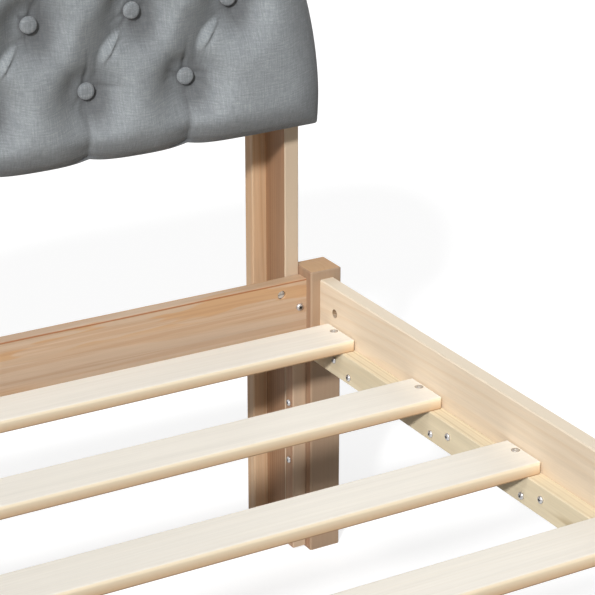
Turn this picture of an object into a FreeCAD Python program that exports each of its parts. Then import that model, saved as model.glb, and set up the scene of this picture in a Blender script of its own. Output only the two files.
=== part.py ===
"""Pine bed frame with side rails on battens, slats, and a tufted headboard panel on two posts.

Millimetres, +Z up, +Y towards the headboard, +X to the right seen from the foot.
The origin is the middle of the frame's footprint, on the floor.
"""
import FreeCAD, Part
import math
import os

from FreeCAD import Vector

# Mattress and the room left round it
mattress_width = 1400.0
mattress_length = 1900.0
mattress_play = 10.0

# Corner legs
leg_size = 40.0
leg_height = 358.0
leg_chamfer = 1.6
leg_top_chamfer = 1.2

# Rails between the legs
board_thickness = 18.0
rail_height = 105.0
rail_drop = 10.5
rail_chamfer = 1.3
side_rail_reveal = 10.0
end_rail_reveal = 11.0

# Bolted corner joints
bolt_radius = 2.9
bolt_length = 78.0
bolt_sides = 12
bolt_head_radius = 7.0
bolt_head_height = 2.5
bolt_head_sides = 16
bolt_play = 0.3
bolt_tip_room = 4.0
end_bolt_depth = 24.5
side_bolt_depth = 41.0
nut_radius = 5.0
nut_length = 14.0
nut_sides = 16
nut_setback = 32.5
nut_play = 0.15
nut_bore_depth = 16.0

# Fluted dowels beside each bolt
dowel_radius = 4.0
dowel_length = 30.0
dowel_sides = 8
dowel_play = 0.1
dowel_end_room = 1.0
end_dowel_depths = (57.0, 98.0)
side_dowel_depths = (22.0, 98.0)

# Battens that carry the slats
batten_width = 18.0
batten_height = 33.0
batten_depth = 58.5
batten_leg_gap = 2.0
batten_chamfer = 0.8

# Slats
slat_count = 11
slat_width = 60.0
slat_thickness = 13.0
slat_head_gap = 31.0
slat_foot_gap = 49.0
slat_end_gap = 1.0
slat_corner_chamfer = 2.6
slat_end_chamfer = 1.6
slat_edge_radius = 3.5

# Headboard posts, each a back board and a side board in an L, with a strip under the rail
post_side_width = 45.0
post_back_width = 35.0
post_chamfer = 1.0
post_floor_gap = 3.0
post_overlap = 106.0

# Headboard panel
panel_side_reach = 7.0
panel_height = 484.0
panel_base_height = 536.0
panel_arc_radius = 460.0
panel_corner_radius = 5.0
core_thickness = 12.0
core_inset = 6.0
cover_thickness = 1.0
cover_inset = 14.0

# Pad of foam under woven cloth
pad_border = 23.0
pad_clearance = 0.3
pad_side_draw = 2.5
pad_edge_round = 11.0
pad_edge_ease = 3.2
pad_crown = 11.0
pad_crown_share = 0.62
pad_crown_run = 48.0

# Tufting of the pad
tuft_columns = 10
tuft_side_gap = 108.0
tuft_first_height = 79.2
tuft_row_pitch = 79.1
tuft_rows = 5
tuft_edge_room = 60.0
channel_half_width = 36.0
channel_depth = 9.0
channel_knee_width = 15.0
channel_knee_depth = 5.6
pleat_half_width = 15.0
pleat_depth = 6.0
pleat_knee_width = 5.0
pleat_knee_depth = 3.4
tuft_mouth_radius = 20.0
tuft_floor_radius = 11.0
tuft_depth = 14.0
tuft_sides = 8
button_radius = 9.5
button_height = 8.0
button_chamfer = 3.0

# Steel angles between the posts and the panel
angle_thickness = 2.0
angle_leg = 36.0
angle_height = 36.0
angle_bend = 2.0
angle_heights = (12.0, 62.0)

# Centre beam with its hangers and legs
beam_width = 28.0
beam_height = 44.0
beam_chamfer = 1.0
beam_end_gap = 1.0
hanger_thickness = 2.0
hanger_depth = 30.0
hanger_flange = 18.0
hanger_bend = 2.0
hanger_play = 0.3
centre_leg_count = 2
centre_leg_depth = 40.0
centre_leg_ear = 9.0
centre_leg_top_gap = 3.0

# One overrun for every cut, and the closeness that picks edges
overrun = 5.0
tolerance = 0.01

AXIS_X = Vector(1, 0, 0)
AXIS_Y = Vector(0, 1, 0)
AXIS_Z = Vector(0, 0, 1)

# Places worked out from the sizes above, first across the bed
side_rail_inner_x = (mattress_width + mattress_play) / 2
side_rail_outer_x = side_rail_inner_x + board_thickness
leg_outer_x = side_rail_outer_x + side_rail_reveal
leg_inner_x = leg_outer_x - leg_size
batten_inner_x = side_rail_inner_x - batten_width
slat_end_x = side_rail_inner_x - slat_end_gap
panel_width = 2 * (leg_inner_x + panel_side_reach)
tuft_pitch = (panel_width - 2 * tuft_side_gap) / tuft_columns

# Along the bed: the headboard posts reach past the head legs, so the middle moves
mattress_room = mattress_length + mattress_play
leg_to_post_front = end_rail_reveal + board_thickness
leg_to_post_back = leg_to_post_front + post_side_width + board_thickness
head_reach = mattress_room / 2 - end_rail_reveal + leg_to_post_back
foot_reach = mattress_room / 2 - end_rail_reveal + leg_size + bolt_head_height
middle_shift = (foot_reach - head_reach) / 2
head_rail_inner_y = mattress_room / 2 + middle_shift
foot_rail_inner_y = -mattress_room / 2 + middle_shift
head_leg_face_y = head_rail_inner_y - end_rail_reveal
foot_leg_face_y = foot_rail_inner_y + end_rail_reveal
slat_room = mattress_room - slat_head_gap - slat_foot_gap
slat_pitch = (slat_room - slat_width) / (slat_count - 1)
post_front_y = head_leg_face_y + leg_to_post_front
post_joint_y = post_front_y + post_side_width
post_back_y = post_joint_y + board_thickness

# Up from the floor
rail_top_z = leg_height - rail_drop
rail_bottom_z = rail_top_z - rail_height
batten_top_z = rail_top_z - batten_depth
batten_bottom_z = batten_top_z - batten_height
slat_top_z = batten_top_z + slat_thickness
post_top_z = panel_base_height + post_overlap
panel_top_z = panel_base_height + panel_height
beam_bottom_z = batten_top_z - beam_height

# The headboard panel from back to front
core_back_y = post_front_y - cover_thickness
core_front_y = core_back_y - core_thickness
pad_back_y = core_front_y - pad_clearance
pad_edge_y = pad_back_y - pad_border
pad_face_y = pad_edge_y - pad_crown
tuft_floor_y = pad_face_y + tuft_depth


def block(x0, x1, y0, y1, z0, z1):
    """Box between two corners, given in any order along each axis."""
    low = Vector(min(x0, x1), min(y0, y1), min(z0, z1))
    return Part.makeBox(abs(x1 - x0), abs(y1 - y0), abs(z1 - z0), low)


def edges_along(shape, axis):
    """Straight edges of the shape that run along the axis."""
    picked = []
    for edge in shape.Edges:
        run = edge.Vertexes[-1].Point - edge.Vertexes[0].Point
        if run.Length > tolerance and run.cross(axis).Length < tolerance:
            picked.append(edge)
    return picked


def edges_at_height(shape, z):
    """Edges of the shape that lie flat at one height."""
    return [edge for edge in shape.Edges
            if abs(edge.BoundBox.ZMin - z) < tolerance and abs(edge.BoundBox.ZMax - z) < tolerance]


def planed_board(x0, x1, y0, y1, z0, z1, axis, chamfer):
    """Planed board whose long edges, along the axis, are eased."""
    board = block(x0, x1, y0, y1, z0, z1)
    return board.makeChamfer(chamfer, edges_along(board, axis))


def ring(point, direction, radius, sides):
    """Closed regular polygon round an axis, with its flats square to the main axes."""
    across = AXIS_X if abs(direction.x) < tolerance else AXIS_Z
    beside = direction.cross(across)
    start = math.pi / sides
    corners = []
    for turn in range(sides + 1):
        angle = start + 2 * math.pi * (turn % sides) / sides
        corners.append(point + across * (radius * math.cos(angle)) + beside * (radius * math.sin(angle)))
    return Part.makePolygon(corners)


def bar(point, direction, radius, length, sides):
    """Many-sided bar from a point along a direction."""
    return Part.Face(ring(point, direction, radius, sides)).extrude(direction * length)


def cut_all(shape, cutters):
    """Shape with every cutter taken out of it."""
    if not cutters:
        return shape
    return shape.cut(cutters)


def mirrored(shape):
    """Copy on the other side of the bed's long centre plane."""
    return shape.mirror(Vector(0, 0, 0), AXIS_X)


def group(shapes):
    """Separate solids kept together under one name."""
    return Part.makeCompound(shapes)


# A rail end's joint is told by the point where the rail's middle plane meets the leg's face,
# the way out of the rail into the leg, and the way from the middle plane to the inner face.
def rail_end_joints(rail):
    """The two joints of a rail, each with its place, directions and depths."""
    if rail in ("head", "foot"):
        inner_y = head_rail_inner_y if rail == "head" else foot_rail_inner_y
        inward = Vector(0, -1, 0) if rail == "head" else Vector(0, 1, 0)
        y = inner_y - inward.y * board_thickness / 2
        return [(Vector(side * leg_inner_x, y, 0), Vector(side, 0, 0), inward,
                 end_bolt_depth, end_dowel_depths) for side in (-1, 1)]
    side = -1 if rail == "left" else 1
    inward = Vector(-side, 0, 0)
    x = side * (side_rail_inner_x + board_thickness / 2)
    return [(Vector(x, face, 0), Vector(0, way, 0), inward, side_bolt_depth, side_dowel_depths)
            for face, way in ((head_leg_face_y, 1), (foot_leg_face_y, -1))]


def at_depth(point, depth):
    """The point at a depth below the legs' tops."""
    return Vector(point.x, point.y, leg_height - depth)


def joint_bolt(joint):
    """Bolt through the leg into the rail's end, with its flat head on the leg."""
    point, out, inward, bolt_depth, dowel_depths = joint
    seat = at_depth(point, bolt_depth) + out * leg_size
    head = bar(seat, out, bolt_head_radius, bolt_head_height, bolt_head_sides)
    shank = bar(seat, out.negative(), bolt_radius, bolt_length, bolt_sides)
    return head.fuse(shank)


def joint_nut(joint):
    """Barrel nut that lies across the rail and takes the bolt."""
    point, out, inward, bolt_depth, dowel_depths = joint
    centre = at_depth(point, bolt_depth) - out * nut_setback
    start = centre + inward * (board_thickness / 2 - nut_bore_depth)
    nut = bar(start, inward, nut_radius, nut_length, nut_sides)
    reach = nut_radius + overrun
    through = bar(centre - out * reach, out, bolt_radius + bolt_play, 2 * reach, bolt_sides)
    return nut.cut(through)


def joint_dowels(joint):
    """Two wooden dowels, half in the leg and half in the rail."""
    point, out, inward, bolt_depth, dowel_depths = joint
    return [bar(at_depth(point, depth) - out * (dowel_length / 2), out, dowel_radius, dowel_length, dowel_sides)
            for depth in dowel_depths]


def joint_bores(joint):
    """Every bore that the joint needs in its leg and its rail."""
    point, out, inward, bolt_depth, dowel_depths = joint
    seat = at_depth(point, bolt_depth) + out * (leg_size + overrun)
    bolt_reach = bolt_length + bolt_tip_room + overrun
    bores = [bar(seat, out.negative(), bolt_radius + bolt_play, bolt_reach, bolt_sides)]
    nut_centre = at_depth(point, bolt_depth) - out * nut_setback
    nut_floor = nut_centre + inward * (board_thickness / 2 - nut_bore_depth)
    bores.append(bar(nut_floor, inward, nut_radius + nut_play, nut_bore_depth + overrun, nut_sides))
    mortise = dowel_length + 2 * dowel_end_room
    for depth in dowel_depths:
        start = at_depth(point, depth) - out * (mortise / 2)
        bores.append(bar(start, out, dowel_radius + dowel_play, mortise, dowel_sides))
    return bores


def leg(side, end):
    """Square corner leg with the bores of its two rail joints."""
    face = head_leg_face_y if end == 1 else foot_leg_face_y
    post = planed_board(side * leg_inner_x, side * leg_outer_x, face, face + end * leg_size,
                        0, leg_height, AXIS_Z, leg_chamfer)
    post = post.makeChamfer(leg_top_chamfer, edges_at_height(post, leg_height))
    cross_joint = rail_end_joints("head" if end == 1 else "foot")[0 if side == -1 else 1]
    long_joint = rail_end_joints("left" if side == -1 else "right")[0 if end == 1 else 1]
    return cut_all(post, joint_bores(cross_joint) + joint_bores(long_joint))


def end_rail(rail):
    """Rail across the bed at the head or the foot."""
    end = 1 if rail == "head" else -1
    inner_y = head_rail_inner_y if rail == "head" else foot_rail_inner_y
    board = planed_board(-leg_inner_x, leg_inner_x, inner_y, inner_y + end * board_thickness,
                         rail_bottom_z, rail_top_z, AXIS_X, rail_chamfer)
    return cut_all(board, [bore for joint in rail_end_joints(rail) for bore in joint_bores(joint)])


def side_rail(rail):
    """Long rail between the head leg and the foot leg."""
    side = -1 if rail == "left" else 1
    board = planed_board(side * side_rail_inner_x, side * side_rail_outer_x,
                         foot_leg_face_y, head_leg_face_y,
                         rail_bottom_z, rail_top_z, AXIS_Y, rail_chamfer)
    return cut_all(board, [bore for joint in rail_end_joints(rail) for bore in joint_bores(joint)])


def slat_batten(side):
    """Ledger on the side rail's inner face, under the slats."""
    return planed_board(side * batten_inner_x, side * side_rail_inner_x,
                        foot_leg_face_y + batten_leg_gap, head_leg_face_y - batten_leg_gap,
                        batten_bottom_z, batten_top_z, AXIS_Y, batten_chamfer)


def slat(index):
    """Slat across the bed, counted from the head, with rounded top edges and eased ends."""
    y = head_rail_inner_y - slat_head_gap - slat_width / 2 - index * slat_pitch
    board = block(-slat_end_x, slat_end_x, y - slat_width / 2, y + slat_width / 2, batten_top_z, slat_top_z)
    board = board.makeChamfer(slat_corner_chamfer, edges_along(board, AXIS_Z))
    top = edges_at_height(board, slat_top_z)
    board = board.makeFillet(slat_edge_radius, [edge for edge in top if edge.Length > slat_width])
    for side in (-1, 1):
        board = board.cut(slat_end_wedge(side, y))
    return board


def slat_end_wedge(side, y):
    """Wedge that eases the top edge of a slat's end."""
    low = slat_top_z - slat_end_chamfer
    inner = slat_end_x - slat_end_chamfer
    corners = [Vector(side * slat_end_x, y - slat_width, low),
               Vector(side * inner, y - slat_width, slat_top_z),
               Vector(side * inner, y - slat_width, slat_top_z + overrun),
               Vector(side * (slat_end_x + overrun), y - slat_width, slat_top_z + overrun),
               Vector(side * (slat_end_x + overrun), y - slat_width, low)]
    return Part.Face(Part.makePolygon(corners + corners[:1])).extrude(AXIS_Y * (2 * slat_width))


def post_back_board(side):
    """Board of the post that stands across the bed, behind the side board."""
    return planed_board(side * (leg_inner_x - post_back_width), side * leg_inner_x,
                        post_joint_y, post_back_y, post_floor_gap, post_top_z, AXIS_Z, post_chamfer)


def post_side_board(side):
    """Board of the post that stands along the bed, against the leg and the head rail."""
    return planed_board(side * (leg_inner_x - board_thickness), side * leg_inner_x,
                        post_front_y, post_joint_y, post_floor_gap, post_top_z, AXIS_Z, post_chamfer)


def post_front_strip(side):
    """Square strip in front of the side board, from the floor up to the head rail."""
    return planed_board(side * (leg_inner_x - board_thickness), side * leg_inner_x,
                        head_rail_inner_y, post_front_y, post_floor_gap, rail_bottom_z,
                        AXIS_Z, post_chamfer)


def centre_beam():
    """Beam along the bed's middle, under the slats."""
    reach = hanger_thickness + beam_end_gap
    return planed_board(-beam_width / 2, beam_width / 2, foot_rail_inner_y + reach, head_rail_inner_y - reach,
                        beam_bottom_z, batten_top_z, AXIS_Y, beam_chamfer)


def centre_leg(number):
    """Leg under the beam, slotted at its top so that it stands astride the beam."""
    run = head_rail_inner_y - foot_rail_inner_y
    y = foot_rail_inner_y + run * (number + 1) / (centre_leg_count + 1)
    half = beam_width / 2 + centre_leg_ear
    body = planed_board(-half, half, y - centre_leg_depth / 2, y + centre_leg_depth / 2,
                        0, batten_top_z - centre_leg_top_gap, AXIS_Z, leg_chamfer)
    slot = block(-beam_width / 2, beam_width / 2, y - centre_leg_depth, y + centre_leg_depth,
                 beam_bottom_z, leg_height)
    return body.cut(slot)


def bent_angle(long_leg, short_leg, thickness, bend, height):
    """Bent steel strip, an L in plan with its outer corner at the origin, standing on the floor plane."""
    corners = [Vector(long_leg, 0, 0), Vector(long_leg, thickness, 0),
               Vector(thickness + bend, thickness, 0), Vector(thickness, thickness + bend, 0),
               Vector(thickness, short_leg, 0), Vector(0, short_leg, 0),
               Vector(0, bend, 0), Vector(bend, 0, 0)]
    return Part.Face(Part.makePolygon(corners + corners[:1])).extrude(AXIS_Z * height)


def beam_hanger(end):
    """Bent steel shoe that holds the beam's end on the rail."""
    face = head_rail_inner_y if end == 1 else foot_rail_inner_y
    cheek_x = beam_width / 2 + hanger_play
    cheek = bent_angle(hanger_flange, hanger_depth, hanger_thickness, hanger_bend, beam_height)
    cheek.translate(Vector(cheek_x, 0, beam_bottom_z))
    seat = block(-cheek_x - hanger_thickness, cheek_x + hanger_thickness, hanger_bend, hanger_depth,
                 beam_bottom_z - hanger_thickness, beam_bottom_z)
    shoe = cheek.fuse([mirrored(cheek), seat]).removeSplitter()
    if end == 1:
        shoe = shoe.mirror(Vector(0, 0, 0), AXIS_Y)
    shoe.translate(Vector(0, face, 0))
    return shoe


def headboard_angle(side, height):
    """Steel angle that joins the side board to the back of the panel."""
    body = mirrored(bent_angle(angle_leg, angle_leg, angle_thickness, angle_bend, angle_height))
    body.translate(Vector(leg_inner_x - board_thickness, post_front_y, panel_base_height + height))
    return mirrored(body) if side == -1 else body


# The panel's outline, seen from the front: straight foot and sides, and a quarter round at each shoulder.
def arc_through(start, centre, end):
    """Arc of less than a half circle from start to end round a centre."""
    radius = (start - centre).Length
    middle = (start + end) * 0.5 - centre
    return Part.Arc(start, centre + middle.normalize() * radius, end).toShape()


def panel_outline(inset, y):
    """Closed outline of the panel, set in by a distance, in the plane at y."""
    half = panel_width / 2 - inset
    low = panel_base_height + inset
    high = panel_top_z - inset
    foot = max(panel_corner_radius - inset, panel_corner_radius / 2)
    shoulder = panel_arc_radius - inset
    shoulder_x = panel_width / 2 - panel_arc_radius
    shoulder_z = panel_top_z - panel_arc_radius

    def at(x, z):
        return Vector(x, y, z)

    edges = [Part.makeLine(at(foot - half, low), at(half - foot, low)),
             arc_through(at(half - foot, low), at(half - foot, low + foot), at(half, low + foot)),
             Part.makeLine(at(half, low + foot), at(half, shoulder_z)),
             arc_through(at(half, shoulder_z), at(half - shoulder, shoulder_z), at(shoulder_x, high)),
             Part.makeLine(at(shoulder_x, high), at(-shoulder_x, high)),
             arc_through(at(-shoulder_x, high), at(shoulder - half, shoulder_z), at(-half, shoulder_z)),
             Part.makeLine(at(-half, shoulder_z), at(-half, low + foot)),
             arc_through(at(-half, low + foot), at(foot - half, low + foot), at(foot - half, low))]
    return Part.Wire(edges)


def panel_plate(inset, front_y, back_y):
    """Flat plate in the panel's outline."""
    return Part.Face(panel_outline(inset, front_y)).extrude(AXIS_Y * (back_y - front_y))


def tuft_places():
    """Every button's place, under its row and its column counted in half pitches."""
    places = {}
    for row in range(tuft_rows):
        z = panel_base_height + tuft_first_height + row * tuft_row_pitch
        reach = tuft_columns - 1 + row % 2
        for column in range(-reach, reach + 1, 2):
            x = column * tuft_pitch / 2
            if clear_of_shoulder(x, z):
                places[(row, column)] = Vector(x, tuft_floor_y, z)
    return places


def clear_of_shoulder(x, z):
    """True where a button keeps its room from the panel's rounded shoulder."""
    past_x = abs(x) - (panel_width / 2 - panel_arc_radius)
    past_z = z - (panel_top_z - panel_arc_radius)
    if past_x <= 0 or past_z <= 0:
        return True
    return math.hypot(past_x, past_z) <= panel_arc_radius - tuft_edge_room


def channel(start, end, half_width, depth, knee_width, knee_depth):
    """Sewn channel from start to end: gentle flanks that steepen at a knee into a sharp valley."""
    across = (end - start).cross(AXIS_Y).normalize()
    out = across.cross(end - start).normalize()
    if out.y > 0:
        out = out.negative()

    def at(side, rise):
        return start + across * side + out * rise

    flank = depth - knee_depth
    rim = depth + overrun
    rim_width = half_width + (half_width - knee_width) * overrun / flank
    corners = [at(0, 0), at(knee_width, knee_depth), at(rim_width, rim),
               at(-rim_width, rim), at(-knee_width, knee_depth)]
    return Part.Face(Part.makePolygon(corners + corners[:1])).extrude(end - start)


def tuft_channels(places):
    """The diagonal channels, each one long run through all the buttons on its line."""
    valley = Vector(0, pad_face_y + channel_depth - tuft_floor_y, 0)
    runs = []
    for (row, column), point in places.items():
        for lean in (-1, 1):
            if (row - 1, column - lean) in places:
                continue
            steps = 0
            while (row + steps + 1, column + (steps + 1) * lean) in places:
                steps += 1
            if steps:
                last = places[(row + steps, column + steps * lean)]
                runs.append(channel(point + valley, last + valley, channel_half_width, channel_depth,
                                    channel_knee_width, channel_knee_depth))
    return runs


def tuft_pleats(places):
    """Straight pleats from the lowest row to the panel's foot and from the highest to its top."""
    pleats = []
    for (row, column), point in places.items():
        start = Vector(point.x, pad_face_y + pleat_depth, point.z)
        ends = []
        if row == 0:
            ends.append(panel_base_height - overrun)
        if row == tuft_rows - 1:
            ends.append(panel_top_z + overrun)
        for z in ends:
            end = Vector(point.x, pad_edge_y + pleat_depth, z)
            pleats.append(channel(start, end, pleat_half_width, pleat_depth, pleat_knee_width, pleat_knee_depth))
    return pleats


def tuft_dimple(point):
    """Funnel that a button is drawn into."""
    slope = (tuft_mouth_radius - tuft_floor_radius) / tuft_depth
    mouth = ring(point - AXIS_Y * (tuft_depth + overrun), AXIS_Y,
                 tuft_mouth_radius + slope * overrun, tuft_sides)
    return Part.makeLoft([mouth, ring(point, AXIS_Y, tuft_floor_radius, tuft_sides)], True, True)


def button(point):
    """Covered button, drawn down to the floor of its tuft."""
    seat = point - AXIS_Y * pad_clearance
    body = bar(seat, Vector(0, -1, 0), button_radius, button_height, tuft_sides)
    front = [edge for edge in body.Edges if abs(edge.BoundBox.YMax - seat.y + button_height) < tolerance]
    return body.makeChamfer(button_chamfer, front)


def headboard_pad():
    """Crowned upholstered pad with drawn-in sides, wrapped round the core, tufted in diamonds."""
    knee_y = pad_edge_y - pad_crown * pad_crown_share
    sections = [(pad_side_draw, core_back_y),
                (0, pad_back_y),
                (0, pad_edge_y + pad_edge_round),
                (pad_edge_ease, pad_edge_y + pad_edge_ease),
                (pad_edge_round, pad_edge_y),
                ((pad_edge_round + pad_crown_run) / 2, knee_y),
                (pad_crown_run, pad_face_y)]
    pad = Part.makeLoft([panel_outline(inset, y) for inset, y in sections], True, True)
    pocket = panel_plate(core_inset - pad_clearance, pad_back_y, core_back_y + overrun)
    places = tuft_places()
    pad = pad.cut(pocket)
    pad = pad.cut(tuft_channels(places))
    pad = pad.cut(tuft_pleats(places))
    return pad.cut([tuft_dimple(point) for point in places.values()])


def build_parts():
    """Every piece of the bed under the name of its file."""
    parts = {}
    sides = {"left": -1, "right": 1}
    ends = {"head": 1, "foot": -1}
    for end_name, end in ends.items():
        for side_name, side in sides.items():
            parts["leg_" + end_name + "_" + side_name] = leg(side, end)
        parts[end_name + "_rail"] = end_rail(end_name)
        parts["beam_hanger_" + end_name] = beam_hanger(end)
    for side_name, side in sides.items():
        parts["side_rail_" + side_name] = side_rail(side_name)
        parts["slat_batten_" + side_name] = slat_batten(side)
        parts["post_back_board_" + side_name] = post_back_board(side)
        parts["post_side_board_" + side_name] = post_side_board(side)
        parts["post_front_strip_" + side_name] = post_front_strip(side)
    for index in range(slat_count):
        parts["slat_%02d" % (index + 1)] = slat(index)
    for number in range(centre_leg_count):
        parts["centre_leg_%d" % (number + 1)] = centre_leg(number)
    joints = [joint for rail in ("head", "foot", "left", "right") for joint in rail_end_joints(rail)]
    parts["centre_beam"] = centre_beam()
    parts["headboard_core"] = panel_plate(core_inset, core_front_y, core_back_y)
    parts["headboard_back_cover"] = panel_plate(cover_inset, core_back_y, post_front_y)
    parts["headboard_pad"] = headboard_pad()
    parts["headboard_buttons"] = group([button(point) for point in tuft_places().values()])
    parts["headboard_angles"] = group([headboard_angle(side, height)
                                       for side in sides.values() for height in angle_heights])
    parts["rail_bolts"] = group([joint_bolt(joint) for joint in joints])
    parts["rail_barrel_nuts"] = group([joint_nut(joint) for joint in joints])
    parts["rail_dowels"] = group([dowel for joint in joints for dowel in joint_dowels(joint)])
    return parts


def main():
    """Build every piece and write its file."""
    os.makedirs("parts", exist_ok=True)
    for name, shape in build_parts().items():
        shape.exportStep("parts/" + name + ".step")
        box = shape.BoundBox
        print("%-26s solids %3d  volume %12.1f  x %8.1f %8.1f  y %8.1f %8.1f  z %7.1f %7.1f" % (
            name, len(shape.Solids), shape.Volume, box.XMin, box.XMax, box.YMin, box.YMax, box.ZMin, box.ZMax))


main()
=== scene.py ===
"""Looks of a pine bed frame with a button-tufted headboard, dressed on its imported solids."""

import random
from math import copysign, cos, hypot, pi, radians, sin, sqrt

import bmesh
import bpy
import numpy as np
from mathutils import Matrix, Vector


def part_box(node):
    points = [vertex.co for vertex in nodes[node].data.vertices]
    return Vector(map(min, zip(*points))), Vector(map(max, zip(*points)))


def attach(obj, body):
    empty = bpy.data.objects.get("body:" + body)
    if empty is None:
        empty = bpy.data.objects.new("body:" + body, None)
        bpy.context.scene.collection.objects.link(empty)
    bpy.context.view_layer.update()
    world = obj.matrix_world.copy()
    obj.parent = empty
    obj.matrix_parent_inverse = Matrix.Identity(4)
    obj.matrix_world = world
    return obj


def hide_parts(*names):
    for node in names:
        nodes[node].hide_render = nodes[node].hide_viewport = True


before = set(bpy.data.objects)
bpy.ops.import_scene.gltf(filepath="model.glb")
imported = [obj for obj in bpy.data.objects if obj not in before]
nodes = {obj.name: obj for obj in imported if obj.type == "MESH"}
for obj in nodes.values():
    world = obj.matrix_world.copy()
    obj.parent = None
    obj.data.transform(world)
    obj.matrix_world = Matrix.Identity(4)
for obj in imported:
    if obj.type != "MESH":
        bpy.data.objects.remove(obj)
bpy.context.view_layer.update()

# Chance, drawn from one seed and always in the same order
draw = random.Random(7).uniform

# Left and right along X, and the slats' nodes
SIDES = (-1, 1)
SLATS = ["slat_%02d" % number for number in range(1, 12)]

# Camera, read from the photograph's vanishing lines
CAMERA_PLACE = (-0.4492, -1.02985, 1.2371)
CAMERA_TURN = (68.081, 0.0, -29.972)
CAMERA_LENS = 128.56

# Heights and faces of the wooden frame, in metres, as the solids have them
RAIL_TOP_Z = 0.3475
FLAME_FOOT_Z = 0.3180
SIDE_BORE_MIDDLE_Y = -0.02475
SIDE_BORE_REACH = 0.9115
SIDE_BORE_Z = 0.3170
SIDE_BORE_RADIUS = 0.0050
BATTEN_TOP_Z = 0.289
SLAT_TOP_Z = 0.302
LEG_FACE_Y = 0.91925
RAIL_FACE_Y = 0.93025
FOOT_RAIL_FACE_Y = -0.97975
POST_BACK_FACE_Y = 1.01125
POST_MIDDLE_X = 0.684
POST_FACE_X = 0.673
STRIP_FACE_X = 0.675
BATTEN_FACE_X = 0.687
ANGLE_SCREW_X = 0.652
ANGLE_SCREW_Y = 0.97125
ANGLE_FACE_Y = 0.95025
CENTRE_LEG_FACE_X = 0.023
HANGER_SCREW_X = 0.0243
HANGER_WALL = 0.002
BEAM_SCREW_Z = 0.267

# The headboard panel, in metres, as the solids have it
PANEL_HALF = 0.700
PANEL_FOOT = 0.536
PANEL_TOP = 1.020
SHOULDER_RADIUS = 0.460
ARC_X = PANEL_HALF - SHOULDER_RADIUS
ARC_Z = PANEL_TOP - SHOULDER_RADIUS
CORNER_RADIUS = 0.005
PAD_SIDE_Y = 0.91950
POCKET_Y = 0.93495
POCKET_INSET = 0.0057
TUFT_PITCH = 0.1184
TUFT_ROW_PITCH = 0.0791
TUFT_FIRST_Z = 0.6152
TUFT_ROWS = 5
TUFT_COLUMNS = 10
TUFT_EDGE_ROOM = 0.060
BUTTON_RADIUS = 0.0092

# How the cloth lies
PAD_RISE = 0.0285
EDGE_ROUND = 0.015
FOOT_RUN = 0.054
SIDE_RUN = 0.100
FOLD_DEPTH = 0.0290
FOLD_JOIN = 2.6
TUFT_DEPTH = 0.0295
FOLD_REACH = 0.060
LIP_START = 0.22
LIP_SPAN = 0.54
LIP_WIDTH = 0.0060
LIP_BOW = 0.0055
# LIP_SHEEN is a painted highlight on the lips' walls
LIP_SHEEN = 0.80
SAG = 0.0080
BUTTON_DROP = 0.0026
# The painted shadow in each button's well: its shift right, drop, width, height and strength
WELL_SHIFT = 0.0105
WELL_DROP = 0.0080
WELL_WIDTH = 0.0150
WELL_HEIGHT = 0.0260
WELL_SHADE = 0.90
FIRST_ROW_SHIFT = 0.0032

# The pad's mesh: a cell's size, the closer lines at its border, and inset and Y of the rings round its side
CELL = 0.0021
BORDER = [0.0, 0.0003, 0.0010, 0.0020, 0.0034, 0.0052, 0.0073]
SIDE_RINGS = [(0.0, 0.9240), (0.0002, 0.9300), (0.0008, 0.9370), (0.0017, 0.9430), (0.0028, 0.9464),
              (0.0045, 0.9476), (0.0070, 0.9479), (0.0138, 0.9479), (0.0138, 0.9474), (POCKET_INSET, 0.9474),
              (POCKET_INSET, POCKET_Y)]

# The lining behind the panel, and its staples
LINING_INSET = 0.014
LINING_Y = 0.94805
STAPLE_Y = 0.94860
STAPLE_INSET = 0.022
STAPLE_PITCH = 0.062


def linear(colour):
    """Colour as a screen shows it, 0 to 255, turned into the renderer's scene values."""
    shares = [part / 255 for part in colour]
    return (*[s / 12.92 if s <= 0.04045 else ((s + 0.055) / 1.055) ** 2.4 for s in shares], 1.0)


# Shader helpers

def is_socket(value):
    """Whether a value is a node's socket."""
    return isinstance(value, bpy.types.NodeSocket)


def tree_of(*values):
    """Node tree of the first socket among some values."""
    return next(value.id_data for value in values if is_socket(value))


def join(sockets, values):
    """Set sockets, or link each to the one that feeds it; a name's underscores stand for spaces."""
    for name, value in values.items():
        target = sockets[name.replace("_", " ") if isinstance(name, str) else name]
        if is_socket(value):
            value.id_data.links.new(value, target)
        else:
            target.default_value = value


def add(tree, kind, inputs=None, **settings):
    """New node with its settings; each input is a value or the socket that feeds it."""
    made = tree.nodes.new("ShaderNode" + kind)
    for name, value in settings.items():
        setattr(made, name, value)
    join(made.inputs, inputs or {})
    return made


def maths(operation, kind="Math", output=0):
    """Function that adds a node for one operation to its values' tree, and gives the node's result."""
    def result(*values):
        return add(tree_of(*values), kind, dict(enumerate(values)), operation=operation).outputs[output]
    return result


times, plus, less, times_plus = map(maths, ("MULTIPLY", "ADD", "SUBTRACT", "MULTIPLY_ADD"))
divided, fraction, whole, size_of = map(maths, ("DIVIDE", "FRACT", "FLOOR", "ABSOLUTE"))
larger, smaller, sine, zigzag = map(maths, ("MAXIMUM", "MINIMUM", "SINE", "PINGPONG"))
scaled = maths("MULTIPLY", "VectorMath")
shifted = maths("ADD", "VectorMath")
parted = maths("SUBTRACT", "VectorMath")
length_of = maths("LENGTH", "VectorMath", 1)
facing = maths("DOT_PRODUCT", "VectorMath", 1)


def grown(vector, factor):
    """Vector or colour times one number."""
    inputs = {0: vector, "Scale": factor}
    return add(tree_of(vector, factor), "VectorMath", inputs, operation="SCALE").outputs[0]


def axes_of(vector):
    """The numbers X, Y and Z of a vector."""
    return add(tree_of(vector), "SeparateXYZ", {0: vector}).outputs


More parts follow.
